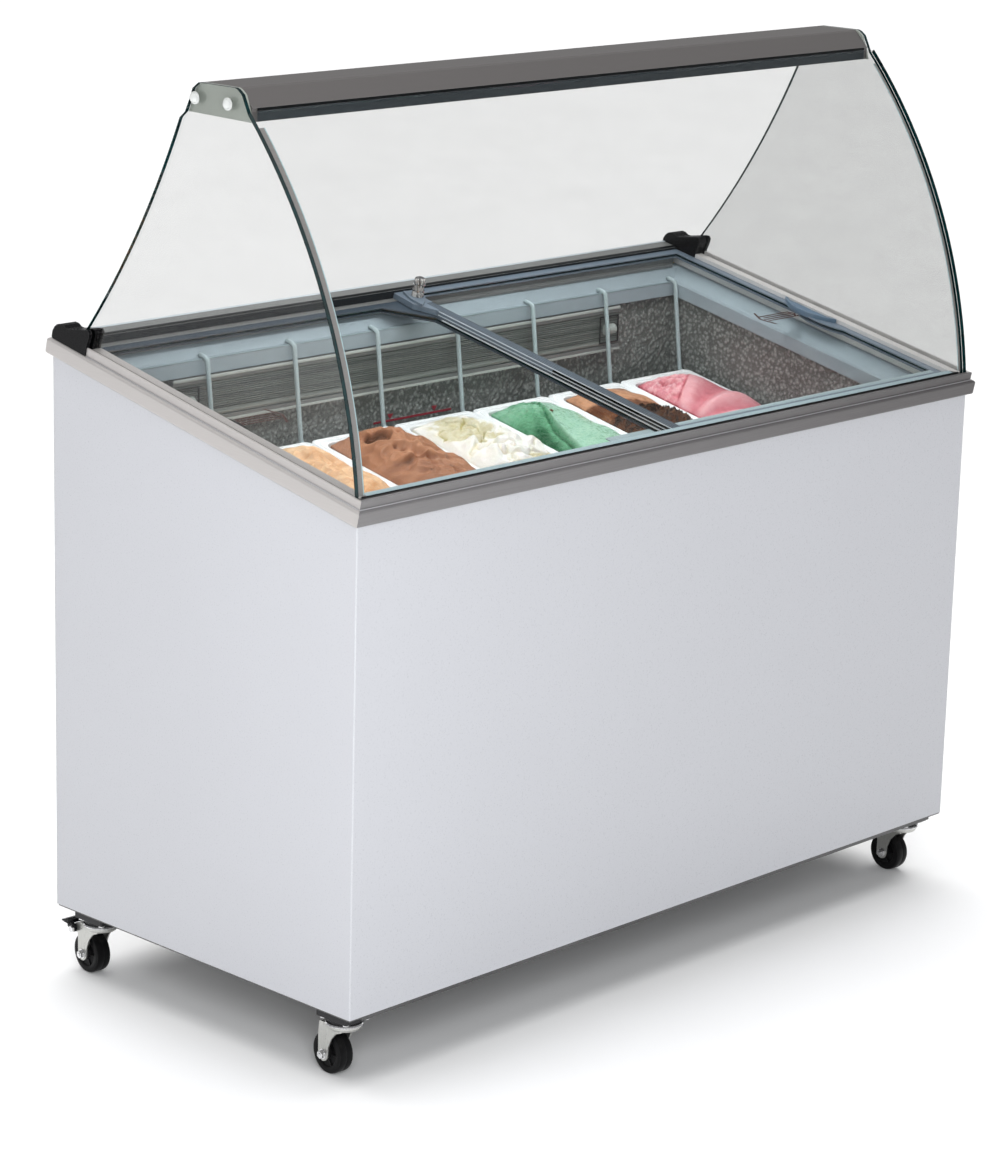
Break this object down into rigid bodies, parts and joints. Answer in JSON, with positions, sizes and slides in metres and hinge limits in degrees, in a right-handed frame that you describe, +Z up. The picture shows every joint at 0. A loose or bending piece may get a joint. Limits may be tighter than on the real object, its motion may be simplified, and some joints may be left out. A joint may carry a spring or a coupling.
{
  "type": "ice cream dipping cabinet",
  "caption": "Chest freezer on casters for scooping ice cream, with a slanting top, sliding glass lids, hanging pans and a curved glass canopy.",
  "frame": {"origin": "on the floor, under the middle of the overall box", "axes": "+Z up, -Y towards the customer, +Y towards the server, +X to the right as the customer sees it"},
  "size_m": [1.3154, 0.6328, 1.319],
  "materials": {
    "white_steel": "gloss",
    "dark_steel": "satin",
    "foam": "matte",
    "stucco": "satin",
    "collar_plastic": "satin",
    "aluminium": "satin",
    "black_plastic": "gloss",
    "glass": "polished",
    "plate_grey": "satin",
    "canopy_grey": "satin",
    "lid_plastic": "satin",
    "chrome": "polished",
    "clear_plastic": "gloss",
    "coated_wire": "satin",
    "white_plastic": "satin",
    "copper": "satin",
    "black_steel": "satin",
    "fin_black": "matte",
    "fan_plastic": "matte",
    "zinc": "satin",
    "black_rubber": "matte",
    "ice_1": "satin",
    "ice_2": "satin",
    "ice_3": "satin",
    "ice_4": "satin",
    "ice_5": "satin",
    "ice_6": "satin"
  },
  "bodies": {
    "cabinet": {"outer_casing": "white_steel", "rear_panel": "white_steel", "rear_grille": "white_steel", "base_tray": "dark_steel", "fan_shroud": "dark_steel", "caster_mount_front_left": "dark_steel", "caster_mount_front_right": "dark_steel", "caster_mount_rear_left": "dark_steel", "caster_mount_rear_right": "dark_steel", "insulation": "foam", "inner_liner": "stucco", "evaporator_coil": "copper", "collar": "collar_plastic", "frame_front": "aluminium", "frame_left": "aluminium", "frame_right": "aluminium", "frame_rear": "aluminium", "lamp_housing": "aluminium", "corner_bracket_left": "black_plastic", "corner_bracket_right": "black_plastic", "lamp_lens": "clear_plastic", "pan_rack": "coated_wire", "front_glass": "glass", "side_glass_left": "glass", "side_glass_right": "glass", "top_profile": "canopy_grey", "end_plate_left": "plate_grey", "end_plate_right": "plate_grey", "compressor": "black_steel", "condenser": "fin_black"},
    "left_lid": {"left_lid_frame": "lid_plastic", "left_lid_glass": "glass"},
    "right_lid": {"right_lid_frame": "lid_plastic", "right_lid_glass": "glass"},
    "lock": {"lock_barrel": "chrome"},
    "fan": {"fan_blade": "fan_plastic"},
    "thermostat": {"thermostat_knob": "black_plastic"},
    "switch": {"power_switch": "black_plastic"},
    "pan_1": {"pan_1": "white_plastic", "ice_cream_1": "ice_1"},
    "pan_2": {"pan_2": "white_plastic", "ice_cream_2": "ice_2"},
    "pan_3": {"pan_3": "white_plastic", "ice_cream_3": "ice_3"},
    "pan_4": {"pan_4": "white_plastic", "ice_cream_4": "ice_4"},
    "pan_5": {"pan_5": "white_plastic", "ice_cream_5": "ice_5"},
    "pan_6": {"pan_6": "white_plastic", "ice_cream_6": "ice_6"},
    "fork_front_left": {"caster_fork_front_left": "zinc"},
    "wheel_front_left": {"wheel_front_left": "black_rubber"},
    "fork_front_right": {"caster_fork_front_right": "zinc"},
    "wheel_front_right": {"wheel_front_right": "black_rubber"},
    "fork_rear_left": {"caster_fork_rear_left": "zinc"},
    "wheel_rear_left": {"wheel_rear_left": "black_rubber"},
    "fork_rear_right": {"caster_fork_rear_right": "zinc"},
    "wheel_rear_right": {"wheel_rear_right": "black_rubber"},
    "brake_rear_left": {"brake_pedal_rear_left": "black_plastic"},
    "brake_rear_right": {"brake_pedal_rear_right": "black_plastic"}
  },
  "joints": [
    {"name": "left_lid_slide", "type": "slide", "parent": "cabinet", "child": "left_lid", "axis": [1, 0, 0], "range_m": [0, 0.59]},
    {"name": "right_lid_slide", "type": "slide", "parent": "cabinet", "child": "right_lid", "axis": [-1, 0, 0], "range_m": [0, 0.59]},
    {"name": "lock_turn", "type": "hinge", "parent": "right_lid", "child": "lock", "pos_m": [-0.001, 0.24241, 0.93059], "axis": [0, -0.2081, 0.9781], "range_deg": [0, 90]},
    {"name": "fan_spin", "type": "hinge", "parent": "cabinet", "child": "fan", "pos_m": [-0.48, 0.2055, 0.24], "axis": [0, 1, 0], "continuous": true},
    {"name": "thermostat_turn", "type": "hinge", "parent": "cabinet", "child": "thermostat", "pos_m": [-0.54, 0.3074, 0.348], "axis": [0, 1, 0], "range_deg": [0, 270]},
    {"name": "switch_rock", "type": "hinge", "parent": "cabinet", "child": "switch", "pos_m": [-0.418, 0.3064, 0.348], "axis": [0, 0, 1], "range_deg": [0, 16]},
    {"name": "pan_1_lift", "type": "slide", "parent": "cabinet", "child": "pan_1", "axis": [0, -0.2081, 0.9781], "range_m": [0, 0.09]},
    {"name": "pan_2_lift", "type": "slide", "parent": "cabinet", "child": "pan_2", "axis": [0, -0.2081, 0.9781], "range_m": [0, 0.09]},
    {"name": "pan_3_lift", "type": "slide", "parent": "cabinet", "child": "pan_3", "axis": [0, -0.2081, 0.9781], "range_m": [0, 0.09]},
    {"name": "pan_4_lift", "type": "slide", "parent": "cabinet", "child": "pan_4", "axis": [0, -0.2081, 0.9781], "range_m": [0, 0.09]},
    {"name": "pan_5_lift", "type": "slide", "parent": "cabinet", "child": "pan_5", "axis": [0, -0.2081, 0.9781], "range_m": [0, 0.09]},
    {"name": "pan_6_lift", "type": "slide", "parent": "cabinet", "child": "pan_6", "axis": [0, -0.2081, 0.9781], "range_m": [0, 0.09]},
    {"name": "swivel_front_left", "type": "hinge", "parent": "cabinet", "child": "fork_front_left", "pos_m": [-0.613, -0.2575, 0.08], "axis": [0, 0, 1], "continuous": true},
    {"name": "roll_front_left", "type": "hinge", "parent": "fork_front_left", "child": "wheel_front_left", "pos_m": [-0.6114, -0.23456, 0.03], "axis": [0.9976, -0.0698, 0], "continuous": true},
    {"name": "swivel_front_right", "type": "hinge", "parent": "cabinet", "child": "fork_front_right", "pos_m": [0.613, -0.2575, 0.08], "axis": [0, 0, 1], "continuous": true},
    {"name": "roll_front_right", "type": "hinge", "parent": "fork_front_right", "child": "wheel_front_right", "pos_m": [0.6146, -0.23456, 0.03], "axis": [0.9976, -0.0698, 0], "continuous": true},
    {"name": "swivel_rear_left", "type": "hinge", "parent": "cabinet", "child": "fork_rear_left", "pos_m": [-0.613, 0.2505, 0.08], "axis": [0, 0, 1], "continuous": true},
    {"name": "roll_rear_left", "type": "hinge", "parent": "fork_rear_left", "child": "wheel_rear_left", "pos_m": [-0.6114, 0.27344, 0.03], "axis": [0.9976, -0.0698, 0], "continuous": true},
    {"name": "brake_rear_left", "type": "hinge", "parent": "fork_rear_left", "child": "brake_rear_left", "pos_m": [-0.61035, 0.28841, 0.066], "axis": [-0.9976, 0.0698, 0], "range_deg": [0, 14]},
    {"name": "swivel_rear_right", "type": "hinge", "parent": "cabinet", "child": "fork_rear_right", "pos_m": [0.613, 0.2505, 0.08], "axis": [0, 0, 1], "continuous": true},
    {"name": "roll_rear_right", "type": "hinge", "parent": "fork_rear_right", "child": "wheel_rear_right", "pos_m": [0.6146, 0.27344, 0.03], "axis": [0.9976, -0.0698, 0], "continuous": true},
    {"name": "brake_rear_right", "type": "hinge", "parent": "fork_rear_right", "child": "brake_rear_right", "pos_m": [0.61565, 0.28841, 0.066], "axis": [-0.9976, 0.0698, 0], "range_deg": [0, 14]}
  ]
}
